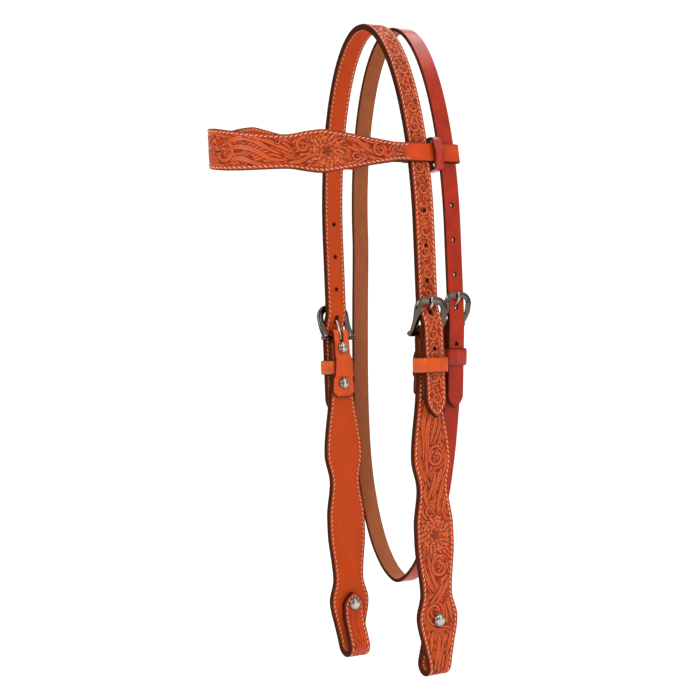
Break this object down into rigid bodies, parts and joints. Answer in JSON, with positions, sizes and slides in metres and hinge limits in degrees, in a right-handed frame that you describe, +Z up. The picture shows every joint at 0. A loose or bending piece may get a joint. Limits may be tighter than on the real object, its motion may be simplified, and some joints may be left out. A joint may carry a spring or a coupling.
{
  "type": "western headstall",
  "caption": "Western headstall for a horse: doubled crown strap buckled to scalloped cheek pieces with folded bit loops, shaped browband and buckled throat latch.",
  "frame": {"origin": "middle of the crown strap's underside at the poll, the flat seat that the headstall hangs by", "axes": "+Z up; -Y the way the horse faces; +X the horse's left (near) side, where the throat latch buckles"},
  "size_m": [0.1608, 0.198, 0.5442],
  "materials": {
    "tooled_leather": "orange-tan grain leather, floral tooling, oiled",
    "lining_leather": "smooth orange-tan lining leather",
    "latigo_leather": "smooth red-brown waxed leather, brown flesh side",
    "nickel": "polished dark nickel plate"
  },
  "bodies": {
    "headstall": {"crown_outer": "tooled_leather", "crown_lining": "lining_leather", "left_cheek_outer": "tooled_leather", "right_cheek_outer": "tooled_leather", "left_cheek_lining": "lining_leather", "right_cheek_lining": "lining_leather", "left_buckle_chape": "tooled_leather", "right_buckle_chape": "tooled_leather", "left_cheek_keeper": "lining_leather", "right_cheek_keeper": "lining_leather", "left_upper_chape_screw_cap": "nickel", "left_upper_chape_screw": "nickel", "left_lower_chape_screw_cap": "nickel", "left_lower_chape_screw": "nickel", "right_upper_chape_screw_cap": "nickel", "right_upper_chape_screw": "nickel", "right_lower_chape_screw_cap": "nickel", "right_lower_chape_screw": "nickel", "left_bit_screw_cap": "nickel", "left_bit_screw": "nickel", "right_bit_screw_cap": "nickel", "right_bit_screw": "nickel"},
    "browband": {"browband_outer": "tooled_leather", "browband_lining": "lining_leather"},
    "left_ring": {"left_browband_keeper": "latigo_leather"},
    "right_ring": {"right_browband_keeper": "latigo_leather"},
    "left_frame": {"left_buckle_frame": "nickel"},
    "right_frame": {"right_buckle_frame": "nickel"},
    "left_tongue": {"left_buckle_tongue": "nickel"},
    "right_tongue": {"right_buckle_tongue": "nickel"},
    "throat": {"throat_strap": "latigo_leather", "upper_throat_screw_cap": "nickel", "upper_throat_screw": "nickel", "lower_throat_screw_cap": "nickel", "lower_throat_screw": "nickel"},
    "throat_frame": {"throat_buckle_frame": "nickel"},
    "throat_tongue": {"throat_buckle_tongue": "nickel"},
    "throat_loop": {"throat_keeper": "latigo_leather"}
  },
  "joints": [
    {"name": "browband_slide", "type": "slide", "parent": "headstall", "child": "browband", "axis": [0, 0, 1], "range_m": [-0.002, 0.002]},
    {"name": "left_ring_slide", "type": "slide", "parent": "browband", "child": "left_ring", "axis": [0, 1, 0], "range_m": [-0.0003, 0.0003]},
    {"name": "right_ring_slide", "type": "slide", "parent": "browband", "child": "right_ring", "axis": [0, 1, 0], "range_m": [-0.0003, 0.0003]},
    {"name": "left_frame_rock", "type": "hinge", "parent": "headstall", "child": "left_frame", "pos_m": [0.066, 0, -0.2585], "axis": [0, 1, 0], "range_deg": [0, 2]},
    {"name": "right_frame_rock", "type": "hinge", "parent": "headstall", "child": "right_frame", "pos_m": [-0.066, 0, -0.2585], "axis": [0, -1, 0], "range_deg": [0, 2]},
    {"name": "left_tongue_lift", "type": "hinge", "parent": "left_frame", "child": "left_tongue", "pos_m": [0.066, 0, -0.2585], "axis": [0, 1, 0], "range_deg": [0, 1.5]},
    {"name": "right_tongue_lift", "type": "hinge", "parent": "right_frame", "child": "right_tongue", "pos_m": [-0.066, 0, -0.2585], "axis": [0, -1, 0], "range_deg": [0, 1.5]},
    {"name": "throat_swing", "type": "hinge", "parent": "headstall", "child": "throat", "pos_m": [0, 0.029, -0.10305], "axis": [1, 0, 0], "range_deg": [0, 1.5]},
    {"name": "throat_frame_rock", "type": "hinge", "parent": "throat", "child": "throat_frame", "pos_m": [0.061, 0.029, -0.252], "axis": [0, 1, 0], "range_deg": [0, 2]},
    {"name": "throat_tongue_lift", "type": "hinge", "parent": "throat_frame", "child": "throat_tongue", "pos_m": [0.061, 0.029, -0.252], "axis": [0, 1, 0], "range_deg": [0, 1.5]},
    {"name": "throat_loop_slide", "type": "slide", "parent": "throat", "child": "throat_loop", "axis": [0.0958, 0, 0.9954], "range_m": [-0.004, 0.004]}
  ]
}
